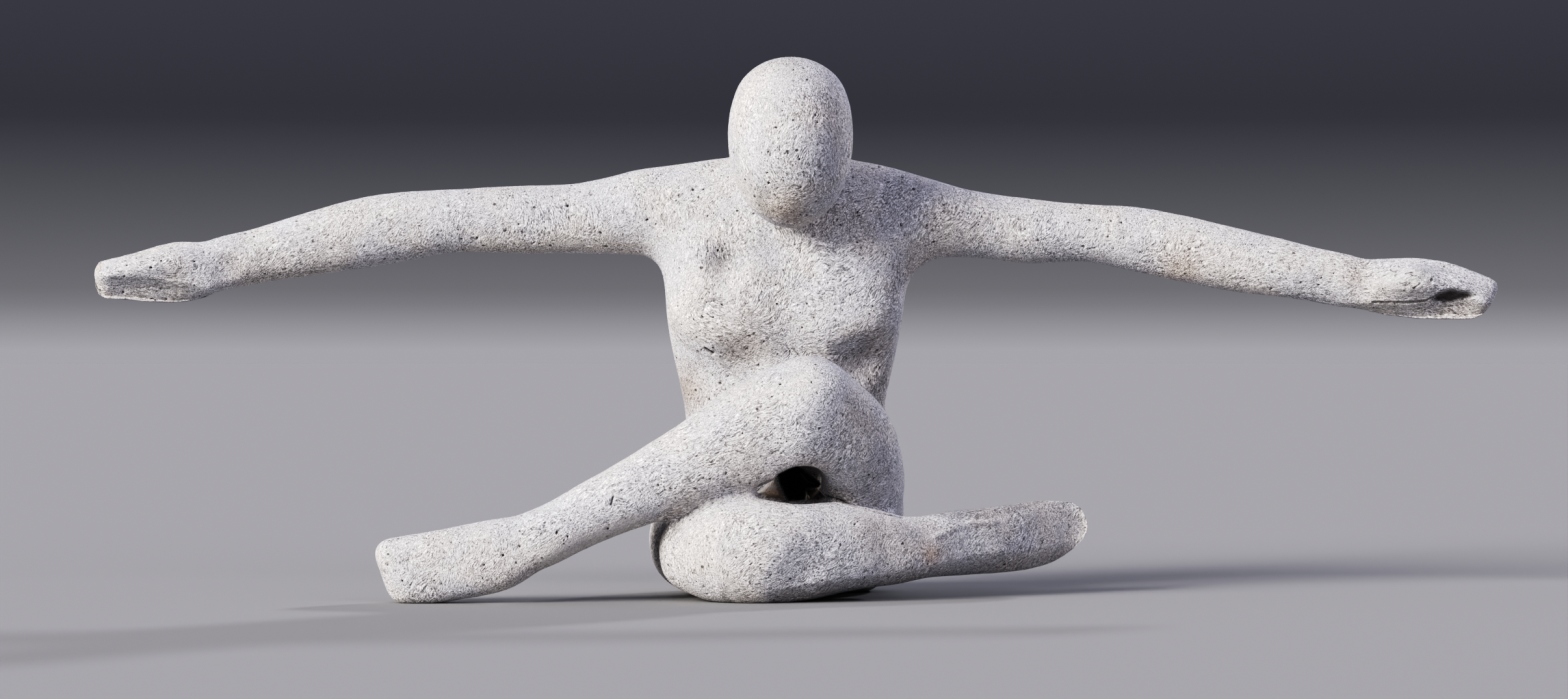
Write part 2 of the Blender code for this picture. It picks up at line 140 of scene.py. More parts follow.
PORES = [
    # Head
    Pore(1182, 282, 1.5), Pore(1180, 266, 1.0), Pore(1182, 234, 1.1), Pore(1230, 245, 1.1),
    Pore(1232, 288, 1.0), Pore(1204, 170, 0.9), Pore(1255, 177, 0.9), Pore(1212, 236, 0.9),
    Pore(1144, 128, 0.9), Pore(1170, 110, 0.8), Pore(1221, 107, 0.9), Pore(1241, 331, 1.0),
    Pore(1288, 337, 1.1),
    # Shoulder and upper arm at the image's left
    Pore(873, 316, 1.7), Pore(1066, 291, 1.6), Pore(1097, 262, 1.5), Pore(1082, 291, 1.0),
    Pore(892, 294, 1.0), Pore(798, 345, 1.0), Pore(821, 374, 0.9), Pore(1009, 345, 1.0),
    Pore(1053, 352, 0.9), Pore(943, 384, 1.0), Pore(934, 379, 0.8), Pore(1114, 338, 0.9),
    Pore(789, 300, 0.9), Pore(909, 300, 0.8), Pore(1312, 272, 1.4),
    # Chest and belly
    Pore(1037, 418, 1.0), Pore(1194, 438, 0.8), Pore(1222, 445, 0.8), Pore(1301, 444, 0.8),
    Pore(1375, 439, 0.9), Pore(1091, 450, 0.8), Pore(1098, 463, 0.8), Pore(1097, 488, 1.0),
    Pore(1252, 489, 0.9), Pore(1211, 473, 0.8), Pore(1175, 526, 1.0), Pore(1297, 465, 0.8),
    Pore(1328, 397, 0.8), Pore(1118, 602, 1.0), Pore(1091, 614, 1.0),
    # Legs and feet
    Pore(1200, 590, 1.5), Pore(1117, 728, 1.0), Pore(1082, 735, 0.9), Pore(774, 854, 1.3),
    Pore(745, 869, 1.0), Pore(668, 893, 0.9), Pore(1525, 813, 0.9), Pore(590, 880, 1.5),
    Pore(596, 869, 1.0), Pore(592, 891, 1.1),
    # Forearm at the image's right
    Pore(1725, 342, 1.2), Pore(1729, 366, 0.9), Pore(1845, 356, 1.0), Pore(1792, 374, 0.9),
    Pore(1844, 380, 1.0), Pore(1831, 383, 0.9), Pore(1916, 375, 0.9), Pore(1926, 376, 0.9),
    Pore(1914, 429, 0.9), Pore(1956, 444, 1.0), Pore(1969, 450, 0.9), Pore(2001, 435, 0.9),
    Pore(2033, 427, 1.0), Pore(2052, 420, 0.9), Pore(2029, 438, 0.8), Pore(1667, 366, 0.9),
    Pore(1687, 352, 0.9), Pore(1754, 388, 0.9), Pore(1713, 383, 0.8), Pore(1849, 402, 0.9),
    Pore(1883, 411, 0.9), Pore(2219, 487, 1.3),
    # Hand at the image's left
    Pore(232, 412, 1.6), Pore(230, 460, 1.6), Pore(269, 385, 1.1), Pore(195, 408, 1.0), Pore(391, 363, 1.1),
    Pore(186, 449, 1.2), Pore(252, 460, 1.2), Pore(299, 402, 1.0), Pore(248, 401, 0.9), Pore(366, 399, 0.9),
]

# A crack, crease or ridge: the pixels along it, its half width and its depth in millimetres (a ridge has a
# negative depth), how crumbly its edges are from 0 to 1, and how dark or, if negative, how pale it is. The
# dark is painted shade with some dirt, and the pale is painted light on a ridge.
Line = namedtuple("Line", "pixels width depth crumble dirt")

LINES = [
    # The chest's thin ridge, in painted light, and its long pore
    Line(((1033, 470), (1073, 520), (1112, 560)), 1.6, -0.35, 0.2, -0.6),
    Line(((1086, 536), (1096, 543)), 1.1, 1.7, 0.2, 1.0),
    # Cracks on the chest, short and forked
    Line(((1232, 375), (1231, 388)), 0.35, 0.4, 0.4, 0.6),
    Line(((1210, 531), (1214, 538), (1218, 545)), 0.35, 0.3, 0.3, 0.7),
    Line(((1215, 539), (1214, 549)), 0.3, 0.25, 0.3, 0.6),
    Line(((1220, 537), (1226, 543), (1232, 551)), 0.35, 0.3, 0.3, 0.7),
    # The crease over the folded leg at the image's left, and the one between thigh and shin at its right, each
    # with painted shade in the crease and painted light on a ridge along it
    Line(((1022, 820), (1048, 797), (1078, 778)), 0.9, 0.4, 0.8, 0.35),
    Line(((1078, 778), (1112, 768), (1148, 763), (1166, 758)), 1.6, -0.5, 0.8, -0.7),
    Line(((1272, 763), (1295, 770), (1317, 778), (1350, 788), (1387, 796)), 0.8, 0.8, 0.6, 0.7),
    Line(((1268, 769), (1300, 777), (1350, 794)), 0.8, -0.3, 0.6, -0.6),
    # The soft valley along the top of the shin, lightly darkened with painted shade, and the elongated pore on
    # it
    Line(((1070, 648), (1100, 618), (1125, 598), (1150, 582)), 5.0, 0.35, 0.1, 0.1),
    Line(((943, 764), (940, 776)), 0.55, 0.8, 0.4, 0.8),
    # Crumbs of stone left in the gap, paled with painted light
    Line(((1239, 757), (1246, 767)), 0.5, -0.8, 0.9, -1.0),
    Line(((1260, 753), (1271, 763)), 0.5, -0.7, 0.9, -1.0),
    Line(((1232, 729), (1243, 742), (1254, 745)), 0.4, -0.4, 0.9, -0.4),
    # Cracks on the peeled thumb at the image's right, and the crease under it
    Line(((2139, 415), (2147, 418)), 0.4, 0.6, 0.9, 0.8),
    Line(((2162, 421), (2173, 418)), 0.4, 0.6, 0.9, 0.7),
    Line(((2171, 423), (2178, 424)), 0.35, 0.5, 0.9, 0.7),
    Line(((2153, 435), (2161, 440), (2166, 439), (2174, 443), (2182, 438)), 0.35, 0.4, 0.9, 0.5),
    Line(((2112, 465), (2160, 466), (2194, 463), (2210, 455)), 0.9, 0.7, 0.5, 0.6),
    Line(((2247, 433), (2270, 438)), 0.3, 0.3, 0.3, 0.4),
    # The ridge under the top outline of each foot, with a little painted light
    Line(((620, 832), (680, 836), (740, 828)), 1.5, -0.3, 0.2, -0.2),
    Line(((1440, 826), (1471, 811), (1530, 803)), 1.8, -0.5, 0.3, -0.1),
]

# A spot that is pressed straight back from the camera: its pixel, and its reach and depth in millimetres
Hollow = namedtuple("Hollow", "x y reach depth")

HOLLOWS = [
    # The shoulder's hollow, and those under the chest
    Hollow(1119, 407, 13, 3.0), Hollow(1325, 552, 18, 5.0), Hollow(1140, 560, 18, 3.2),
    Hollow(1066, 585, 14, 2.8),
    # The knee, the lower lobe and the shin turn away more sharply at the image's right
    Hollow(1305, 655, 24, 5.0), Hollow(1275, 862, 24, 4.0), Hollow(1222, 897, 16, 2.4),
    Hollow(1350, 860, 22, 2.5), Hollow(1655, 822, 45, 8.0), Hollow(1490, 850, 20, 2.0),
    # The dip between thumb and wrist
    Hollow(348, 412, 10, 1.8),
    # The chin's underside
    Hollow(1216, 345, 9, 2.0),
]

# A rough patch: its pixel, reach and roughness in millimetres
Rough = namedtuple("Rough", "x y reach height")

ROUGHS = [
    Rough(2085, 425, 8, 0.20), Rough(2120, 428, 11, 0.32), Rough(2160, 430, 11, 0.38),
    Rough(2195, 436, 9, 0.32), Rough(1235, 750, 12, 0.30), Rough(1188, 752, 9, 0.15),
    Rough(1262, 757, 6, 0.40), Rough(1050, 800, 6, 0.22), Rough(1110, 775, 5, 0.22),
    Rough(592, 880, 5, 0.30), Rough(150, 410, 4, 0.25),
]

# A patch outlined in pixels. It gains its tint over the edge and its depth over the slope, both in pixels
# inwards from its outline. Dirt, rust and pale go from 0 to 1. Their dirt is painted shade, and their pale is
# painted light, except on the peeled thumb. The depth is in millimetres: negative swells.
Patch = namedtuple("Patch", "outline edge dirt rust pale slope depth")

PALM = ((90, 428), (150, 424), (200, 424), (250, 430), (300, 438), (335, 450), (350, 540), (90, 540))

PATCHES = [
    # The painted black shade of the gap between the legs, the lit stone at its left in painted light, and that
    # stone's redder foot with rust
    Patch(((1194, 729), (1214, 719), (1226, 715), (1235, 720), (1244, 728), (1256, 737), (1266, 745),
           (1260, 751), (1241, 753), (1240, 771), (1212, 772), (1206, 762), (1199, 745)),
          3, 1.0, 0, 0, 6, 9),
    Patch(((1240, 751), (1262, 750), (1274, 764), (1262, 770), (1240, 771)), 3, 0.8, 0.4, 0, 4, 2),
    Patch(((1165, 758), (1192, 729), (1199, 745), (1206, 762), (1210, 771), (1180, 765)),
          3, 0, 0.3, 0.9, 6, -2),
    Patch(((1172, 758), (1184, 751), (1202, 751), (1206, 762), (1210, 771), (1180, 766)),
          3, 0.1, 1.0, 0, 6, 0),
    # Painted deep shade behind the lobe
    Patch(((1000, 800), (1040, 800), (1030, 822), (1019, 845), (1020, 880), (1007, 865), (1000, 835)),
          11, 0.55, 0, 0, 6, 0),
    # The palms, which face down: each leans back below the crease, with a little painted shade, and steps back
    # just under it
    Patch(PALM, 12, 0.15, 0, 0, 40, 6),
    Patch(PALM, 12, 0, 0, 0, 12, 2),
    Patch(((2060, 468), (2117, 465), (2160, 466), (2194, 463), (2212, 454), (2258, 454), (2285, 466),
           (2340, 478), (2340, 560), (2060, 560)), 10, 0.15, 0, 0, 34, 6),
    Patch(((2085, 468), (2117, 466), (2160, 467), (2194, 464), (2212, 455), (2258, 454), (2285, 468),
           (2340, 480), (2340, 560), (2085, 560)), 10, 0, 0, 0, 9, 2.2),
    # The foot at the image's right, with painted shade along its top
    Patch(((1436, 797), (1450, 775), (1620, 755), (1625, 772), (1600, 783), (1562, 796), (1527, 803),
           (1474, 804), (1445, 801)), 8, 0.28, 0, 0, 8, 0.8),
    # Painted deep shade under the fingers at the image's right
    Patch(((2200, 461), (2212, 449), (2232, 442), (2262, 447), (2277, 457), (2255, 462), (2235, 466),
           (2211, 465)), 6, 0.85, 0, 0, 7, 3.5),
    # The peeled thumb, which swells over the palm
    Patch(((2100, 430), (2140, 412), (2190, 404), (2212, 420), (2216, 440), (2200, 458), (2150, 462),
           (2110, 455)), 14, 0, 0, 0.45, 18, -1.6),
    # Painted light on the underside of the raised shin, by the ankle
    Patch(((815, 840), (900, 812), (965, 785), (1012, 785), (970, 835), (900, 868), (830, 880)),
          14, 0, 0, 0.8, 6, 0),
    # The underside of the folded leg and of the foot at the image's right, with painted shade
    Patch(((1180, 935), (1180, 910), (1260, 895), (1340, 886), (1420, 873), (1500, 854), (1600, 846),
           (1680, 832), (1722, 800), (1780, 935)), 22, 0.35, 0, 0, 22, 3.5),
]

# The foot at the image's right turns back from the first column of pixels, by this much at the second
FOOT_TURN_FROM = 1370
FOOT_TURN_TO = 1720
FOOT_TURN_BACK = 16 * MM
FOOT_TURN_BEND = 1.3

# Painted shade spots and rust stains: pixel, reach in millimetres, and strength
Spot = namedtuple("Spot", "x y reach strength")

# Painted shade: darker spots in the shoulder's hollow, under the chest, on the belly and waist, at the chin
# and the head's top, on the hands, by the crease over the folded leg, in the gap and on the foot
PAINTED_SHADE_SPOTS = [
    Spot(1113, 398, 8, 0.7), Spot(1109, 380, 5, 0.2), Spot(350, 405, 7, 0.6), Spot(2020, 440, 10, 0.4),
    Spot(1216, 92, 13, 0.5), Spot(1318, 541, 10, 0.4), Spot(1140, 540, 9, 0.3),
    Spot(1190, 535, 9, 0.25), Spot(2078, 425, 4, 0.5), Spot(2092, 426, 4, 0.5), Spot(2190, 419, 6, 0.6),
    Spot(1500, 805, 9, 0.25), Spot(1056, 600, 12, 0.9), Spot(1165, 292, 8, 0.4),
    Spot(1325, 545, 9, 0.7), Spot(1345, 592, 11, 0.6), Spot(1246, 727, 4, 0.8), Spot(235, 440, 9, 0.3),
    Spot(1068, 790, 5, 0.45), Spot(1040, 812, 5, 0.55), Spot(1178, 322, 8, 0.45),
    Spot(1212, 328, 9, 0.6),
]

WARM_STAINS = [
    Spot(1432, 853, 5, 0.8), Spot(1815, 413, 12, 0.35), Spot(1060, 600, 12, 0.6),
    Spot(152, 410, 3, 0.7), Spot(2085, 425, 5, 0.15), Spot(1205, 325, 10, 0.35),
    Spot(1075, 860, 10, 0.2),
]

# Which way the tool strokes run: pixel, reach in millimetres, and degrees above the image's horizontal
Strokes = namedtuple("Strokes", "x y reach degrees")

STROKES = [
    Strokes(1216, 190, 26, 90), Strokes(1216, 315, 10, 8), Strokes(1130, 330, 16, 85),
    Strokes(1190, 440, 18, 80), Strokes(1330, 340, 16, 48), Strokes(1400, 400, 16, 40),
    Strokes(1300, 460, 18, 30), Strokes(1060, 430, 16, 70), Strokes(1090, 500, 14, -20),
    Strokes(1180, 530, 16, 10), Strokes(1340, 600, 14, 60), Strokes(1070, 600, 16, 75),
    Strokes(1216, 600, 12, 65), Strokes(1160, 660, 14, 25), Strokes(1330, 690, 14, 55),
    Strokes(1370, 760, 12, 0), Strokes(1240, 700, 12, 12), Strokes(1080, 690, 16, 20),
    Strokes(1060, 780, 12, 24), Strokes(900, 800, 20, 50), Strokes(700, 870, 20, 70),
    Strokes(1080, 850, 16, 75), Strokes(1150, 860, 14, 20), Strokes(1220, 830, 14, 10),
    Strokes(1330, 850, 18, 48), Strokes(1450, 850, 16, 55), Strokes(1580, 810, 16, 40),
    Strokes(1140, 910, 6, -40), Strokes(1480, 360, 20, 60), Strokes(1650, 370, 20, 50),
    Strokes(1850, 390, 22, 40), Strokes(2000, 440, 16, 5), Strokes(2160, 480, 16, 4),
    Strokes(2270, 460, 10, -30), Strokes(1000, 320, 22, 75), Strokes(850, 340, 22, 80),
    Strokes(650, 350, 22, 50), Strokes(500, 390, 18, 40), Strokes(400, 400, 12, 55),
    Strokes(230, 450, 16, -4), Strokes(230, 400, 14, 12),
]

# Pores all over, the hidden sides too: how many, how wide, and their depth and stretch as shares of the width
SCATTERED_PORES = 900
SCATTERED_WIDTHS = (0.45 * MM, 1.2 * MM)
SCATTERED_DEPTHS = (0.5, 0.9)
SCATTERED_STRETCH = 0.25
SEED = 7


def add_camera():
    """The photograph's view."""
    data = bpy.data.cameras.new("camera")
    data.sensor_width = SENSOR_WIDTH
    data.lens = SENSOR_WIDTH * PIXELS_PER_SLOPE / PHOTO_WIDTH
    data.clip_end = 100
    camera = bpy.data.objects.new("camera", data)
    camera.location = CAMERA_PLACE
    camera.rotation_euler = (math.pi / 2, 0, 0)
    bpy.context.scene.collection.objects.link(camera)
    bpy.context.scene.camera = camera


def remeshed(node):
    """A CAD node's points and quads, skinned again on a fine grid."""
    copy = bpy.data.objects.new("coarse", node.data.copy())
    bpy.context.scene.collection.objects.link(copy)
    remesh = copy.modifiers.new("fine skin", "REMESH")
    remesh.mode = "VOXEL"
    remesh.voxel_size = SKIN_STEP
    bpy.context.view_layer.update()
    mesh = copy.evaluated_get(bpy.context.evaluated_depsgraph_get()).to_mesh()
    points = np.empty(len(mesh.vertices) * 3)
    mesh.vertices.foreach_get("co", points)
    corners = np.empty(len(mesh.loops), int)
    mesh.loops.foreach_get("vertex_index", corners)
    bpy.data.objects.remove(copy)
    return points.reshape(-1, 3), corners.reshape(-1, 4)


def smoothed(values, edges, rounds):
    """Values at the points, each drawn towards the mean of its neighbours' values a few times."""
    one, two = edges.T
    counts = np.bincount(edges.ravel(), minlength=len(values))[:, None]
    for _ in range(rounds):
        total = np.zeros_like(values)
        for column in range(values.shape[1]):
            total[:, column] += np.bincount(one, values[two, column], len(values))
            total[:, column] += np.bincount(two, values[one, column], len(values))
        values = (values + total / counts) / 2
    return values


def point_normals(points, triangles):
    """Outward normals at the points of a mesh."""
    a, b, c = (points[triangles[:, corner]] for corner in range(3))
    across = np.cross(b - a, c - a)
    normals = np.zeros_like(points)
    for corner in range(3):
        for column in range(3):
            normals[:, column] += np.bincount(triangles[:, corner], across[:, column], len(points))
    return normals / np.linalg.norm(normals, axis=1, keepdims=True)


def smooth_skin(points, quads):
    """Takes the facets out of a skin, moves it back out by what that shrank it, and gives it in triangles."""
    triangles = np.vstack([quads[:, [0, 1, 2]], quads[:, [0, 2, 3]]])
    sides = np.vstack([quads[:, [corner, (corner + 1) % 4]] for corner in range(4)])
    edges = np.unique(np.sort(sides, axis=1), axis=0)
    smooth = smoothed(points, edges, SMOOTHING_ROUNDS)
    normals = point_normals(smooth, triangles)
    lost = ((points - smooth) * normals).sum(axis=1, keepdims=True)
    return smooth + smoothed(lost, edges, SMOOTHING_ROUNDS) * normals, triangles


def split(points, triangles, chosen):
    """A mesh whose edges between chosen points are halved, with the new points lifted to keep it round."""
    sides = np.vstack([triangles[:, [corner, (corner + 1) % 3]] for corner in range(3)])
    edges, where = np.unique(np.sort(sides, axis=1), axis=0, return_inverse=True)
    where = where.reshape(3, -1).T
    marked = chosen[edges].all(axis=1)
    a, b = edges[marked].T
    normals = point_normals(points, triangles)
    along = points[b] - points[a]
    lift = (along * normals[b]).sum(axis=1, keepdims=True) * normals[b]
    lift -= (along * normals[a]).sum(axis=1, keepdims=True) * normals[a]
    middles = (points[a] + points[b]) / 2 + lift / 8
    number = np.full(len(edges), -1)
    number[marked] = len(points) + np.arange(len(middles))
    middle = number[where]
    count = (middle >= 0).sum(axis=1)

    # Each triangle is turned so that one marked edge comes first, or two marked edges last
    turn = np.zeros(len(triangles), int)
    turn[count == 1] = np.argmax(middle[count == 1] >= 0, axis=1)
    turn[count == 2] = np.argmax(middle[count == 2] < 0, axis=1)
    turns = (turn[:, None] + np.arange(3)) % 3
    corners = np.take_along_axis(triangles, turns, axis=1)
    middle = np.take_along_axis(middle, turns, axis=1)
    both = np.hstack([corners, middle])
    patterns = {
        0: ((0, 1, 2),),
        1: ((0, 3, 2), (3, 1, 2)),
        2: ((2, 5, 4), (0, 1, 4), (0, 4, 5)),
        3: ((0, 3, 5), (3, 1, 4), (5, 4, 2), (3, 4, 5)),
    }
    pieces = [both[count == marks][:, pick] for marks, picks in patterns.items() for pick in picks]
    return np.vstack([points, middles]), np.vstack(pieces)


class Finder:
    """Finds the points of a mesh that lie near a line, quickly, because they are sorted along X."""

    def __init__(self, points):
        self.points = points
        self.order = np.argsort(points[:, 0])
        self.across = points[self.order, 0]

    def near(self, line, reach):
        """The points within reach of a line of places, and their distances from it."""
        low = line.min(axis=0) - reach
        high = line.max(axis=0) + reach
        first, last = np.searchsorted(self.across, (low[0], high[0]))
        found = self.order[first:last]
        spots = self.points[found]
        inside = ((spots >= low) & (spots <= high)).all(axis=1)
        found, spots = found[inside], spots[inside]
        best = np.full(len(found), np.inf)
        for index in range(max(1, len(line) - 1)):
            start = line[index]
            step = line[min(index + 1, len(line) - 1)] - start
            share = np.clip((spots - start) @ step / max(step @ step, 1e-12), 0, 1)
            gap = np.linalg.norm(spots - start - share[:, None] * step, axis=1)
            best = np.minimum(best, gap)
        close = best < reach
        return found[close], best[close]


class Sight:
    """Looks from the camera through a pixel of the photograph, to the place on the stone that shows there."""

    def __init__(self, points, triangles):
        self.tree = BVHTree.FromPolygons(points.tolist(), triangles.tolist())

    def place(self, x, y):
        across = (x - PHOTO_WIDTH / 2) / PIXELS_PER_SLOPE
        up = (PHOTO_HEIGHT / 2 - y) / PIXELS_PER_SLOPE
        towards = Vector((across, 1, up))
        hit = self.tree.ray_cast(CAMERA_PLACE, towards.normalized())[0]
        if hit is None:
            raise ValueError(f"no stone shows at pixel {x}, {y}")
        return np.array(hit)

    def line(self, pixels, step=4):
        """Places on the stone along a row of pixels."""
        places = []
        for (x0, y0), (x1, y1) in zip(pixels, pixels[1:]):
            count = max(1, round(math.dist((x0, y0), (x1, y1)) / step))
            for index in range(count + 1):
                share = index / count
                places.append(self.place(x0 + share * (x1 - x0), y0 + share * (y1 - y0)))
        return np.array(places)


def pixels_of(points):
    """Where points show in the photograph."""
    away = points - np.array(CAMERA_PLACE)
    x = PHOTO_WIDTH / 2 + PIXELS_PER_SLOPE * away[:, 0] / away[:, 1]
    y = PHOTO_HEIGHT / 2 - PIXELS_PER_SLOPE * away[:, 2] / away[:, 1]
    return np.column_stack([x, y])


def inside_by(spots, outline):
    """How far inside an outline each pixel lies, in pixels, or 0 outside it."""
    inner = np.zeros(len(spots), bool)
    gap = np.full(len(spots), np.inf)
    for start, end in zip(np.array(outline, float), np.roll(np.array(outline, float), -1, axis=0)):
        step = end - start
        share = np.clip((spots - start) @ step / (step @ step), 0, 1)
        gap = np.minimum(gap, np.linalg.norm(spots - start - share[:, None] * step, axis=1))
        crosses = (start[1] > spots[:, 1]) != (end[1] > spots[:, 1])
        rise = step[1] if step[1] else 1
        inner ^= crosses & (spots[:, 0] < start[0] + step[0] * (spots[:, 1] - start[1]) / rise)
    return np.where(inner, gap, 0)


def noise_at(points, wavelength, seed=0):
    """Smooth noise between about -1 and 1 at each point."""
    shift = Vector((seed * 7.3, seed * 3.1, seed * 5.7))
    return np.array([noise.noise(Vector(point) + shift) for point in (points / wavelength).tolist()])


# One cut into the stone: the places along it, its half width, depth, crumble and dirt. That last darkens it
# with painted shade and dirt, or where negative pales it with painted light
Cut = namedtuple("Cut", "line width depth crumble dirt")


def scattered_cuts(points, triangles):
    """Pores strewn over the whole stone, small ones more often than wide ones."""
    draw = np.random.default_rng(SEED)
    a, b, c = (points[triangles[:, corner]] for corner in range(3))
    areas = np.linalg.norm(np.cross(b - a, c - a), axis=1)
    picks = draw.choice(len(triangles), SCATTERED_PORES, p=areas / areas.sum())
    low, high = SCATTERED_WIDTHS
    cuts = []
    for pick in picks:
        width = low + (high - low) * draw.random() ** 3
        middle = points[triangles[pick]].mean(axis=0)
        stretch = draw.normal(size=3) * width * SCATTERED_STRETCH
        line = np.array([middle - stretch, middle + stretch])
        cuts.append(Cut(line, width / 2, width * draw.uniform(*SCATTERED_DEPTHS), PORE_CRUMBLE, 1.0))
    return cuts


def named_cuts(sight):
    """The pores, cracks, creases and ridges that the photograph shows."""
    cuts = []
    for pore in PORES:
        place = sight.place(pore.x, pore.y)
        cuts.append(Cut(place[None], pore.width * MM / 2, pore.width * MM * PORE_DEPTH, PORE_CRUMBLE, 1.0))
    for line in LINES:
        cuts.append(Cut(sight.line(line.pixels), line.width * MM, line.depth * MM, line.crumble, line.dirt))
    return cuts


class Skin:
    """The fine skin while it is carved: how its points move, and what its material will read at them."""

    def __init__(self, points, triangles):
        self.points = points
        self.finder = Finder(points)
        self.normals = point_normals(points, triangles)
        self.rise = np.zeros(len(points))
        self.push = np.zeros(len(points))
        self.dirt = np.zeros(len(points))
        self.pale = np.zeros(len(points))
        self.rust = np.zeros(len(points))

    def moved(self):
        """The points, raised along their normals and pushed straight back."""
        points = self.points + self.rise[:, None] * self.normals
        points[:, 1] += self.push
        return points


def near_marks(points, cuts, sight):
    """Marks the points near cuts and rough patches, where the skin has to be finer."""
    finder = Finder(points)
    chosen = np.zeros(len(points), bool)
    for cut in cuts:
        chosen[finder.near(cut.line, cut.width + MARK_MARGIN)[0]] = True
    for rough in ROUGHS:
        place = sight.place(rough.x, rough.y)
        chosen[finder.near(place[None], rough.reach * MM)[0]] = True
    return chosen


def press_hollows(skin, sight):
    for hollow in HOLLOWS:
        reach = hollow.reach * MM
        found, gap = skin.finder.near(sight.place(hollow.x, hollow.y)[None], reach)
        facing = np.clip(-skin.normals[found, 1], 0, 1)
        skin.push[found] += hollow.depth * MM * facing * (1 - (gap / reach) ** 2) ** 2


def press_patches(skin, spots):
    """Tints the outlined patches, mostly with painted shade and painted light, and presses them back. The
    spots are the pixels where the points show.
    """
    for patch in PATCHES:
        low, high = np.min(patch.outline, axis=0), np.max(patch.outline, axis=0)
        boxed = ((spots > low) & (spots < high)).all(axis=1) & (skin.normals[:, 1] < PRESS_LIMIT)
        found = np.flatnonzero(boxed)
        inner = inside_by(spots[found], patch.outline)
        share = np.clip(inner / patch.edge, 0, 1)
        skin.dirt[found] = np.maximum(skin.dirt[found], patch.dirt * share)
        skin.rust[found] = np.maximum(skin.rust[found], patch.rust * share)
        skin.pale[found] = np.maximum(skin.pale[found], patch.pale * share)
        facing = np.clip((PRESS_LIMIT - skin.normals[found, 1]) / PRESS_FADE, 0, 1)
        skin.push[found] += patch.depth * MM * facing * np.clip(inner / patch.slope, 0, 1)


def turn_foot(skin, spots):
    """Turns the foot at the image's right back from the camera, its back too."""
    beyond = (spots[:, 0] - FOOT_TURN_FROM) / (FOOT_TURN_TO - FOOT_TURN_FROM)
    foot = (beyond > 0) & (spots[:, 1] > PHOTO_HEIGHT / 2)
    skin.push[foot] += FOOT_TURN_BACK * beyond[foot] ** FOOT_TURN_BEND


def roughen(skin, sight):
    """Lumps on the rough patches, dark in their pits and pale on their knobs."""
    roughness = np.zeros(len(skin.points))
    for rough in ROUGHS:
        reach = rough.reach * MM
        found, gap = skin.finder.near(sight.place(rough.x, rough.y)[None], reach)
        height = rough.height * MM * (1 - (gap / reach) ** 2)
        roughness[found] = np.maximum(roughness[found], height)
    found = np.flatnonzero(roughness)
    spots, height = skin.points[found], roughness[found]
    lumps = noise_at(spots, LUMP_SIZE, 1) + BROAD_LUMP_SHARE * noise_at(spots, BROAD_LUMP_SIZE, 2)
    skin.rise[found] += height * lumps
    skin.dirt[found] += np.clip(-lumps - PIT_LEVEL, 0, 1) * height / PIT_HEIGHT
    skin.pale[found] += np.clip(lumps - KNOB_LEVEL, 0, 1) * height / KNOB_HEIGHT


def make_cuts(skin, cuts):
    """Pores, cracks, creases and ridges, with crumbly edges: dark inside with painted shade and dirt, or pale
    on a ridge with painted light.
    """
    for number, cut in enumerate(cuts):
        reach = cut.width * (CRUMB_SPREAD if cut.crumble else 1) + CUT_MARGIN
        found, gap = skin.finder.near(cut.line, reach)
        wobble = noise_at(skin.points[found], CRUMB_SIZE, number % CRUMB_DRAWS)
        share = gap / (cut.width * (1 + CRUMB_SWING * cut.crumble * wobble))
        inside = np.clip(1 - share ** 2, 0, 1)
        skin.rise[found] -= cut.depth * inside
        if cut.dirt > 0:
            skin.dirt[found] = np.maximum(skin.dirt[found], cut.dirt * np.clip(2 * inside - 0.6, 0, 1))
            edge = np.clip(1 - abs(share - EDGE_PLACE) / EDGE_WIDTH, 0, 1) * np.clip(0.5 + wobble, 0, 1)
            skin.pale[found] = np.maximum(skin.pale[found], cut.crumble * edge)
        else:
            skin.pale[found] = np.maximum(skin.pale[found], -cut.dirt * inside)
            skin.dirt[found] *= 1 + cut.dirt * inside


def lay_shade_and_rust(skin, sight):
    # Painted shade spots darken the stone as the dirt does, and rust stains warm it
    for spot_list, layer, strength in ((PAINTED_SHADE_SPOTS, skin.dirt, PAINTED_SHADE_SHARE), (WARM_STAINS, skin.rust, 1)):
        for spot in spot_list:
            place = sight.place(spot.x, spot.y)
            found, gap = skin.finder.near(place[None], SPOT_FADE * spot.reach * MM)
            fade = np.exp(-(gap / (spot.reach * MM)) ** 2) * spot.strength * strength
            layer[found] = np.maximum(layer[found], fade)


def carved(points, triangles):
    """The finished skin and what its material reads: dirt and painted shade, pale stone and painted light,
    rust and the turn of the strokes.
    """
    sight = Sight(points, triangles)
    cuts = named_cuts(sight) + scattered_cuts(points, triangles)
    points, triangles = split(points, triangles, np.ones(len(points), bool))
    points, triangles = split(points, triangles, near_marks(points, cuts, sight))
    skin = Skin(points, triangles)
    for wavelength, height in UNEVENNESS:
        skin.rise += height * noise_at(points, wavelength, seed=wavelength / MM)
    spots = pixels_of(points)
    press_hollows(skin, sight)
    press_patches(skin, spots)
    turn_foot(skin, spots)
    roughen(skin, sight)
    make_cuts(skin, cuts)
    lay_shade_and_rust(skin, sight)
    turn = stroke_turns(points, sight)
    return skin.moved(), triangles, {"dirt": skin.dirt, "pale": skin.pale, "rust": skin.rust, "turn": turn}


def stroke_turns(points, sight):
    """The direction of the tool strokes at each point, in radians, from the named patches near it."""
    sines = np.zeros(len(points))
    cosines = np.full(len(points), 1e-6)
    for patch in STROKES:
        place = sight.place(patch.x, patch.y)
        gap = np.linalg.norm(points - place, axis=1)
        weight = np.exp(-(gap / (patch.reach * MM)) ** 2)
        sines += weight * math.sin(2 * math.radians(patch.degrees))
        cosines += weight * math.cos(2 * math.radians(patch.degrees))
    return np.arctan2(sines, cosines) / 2


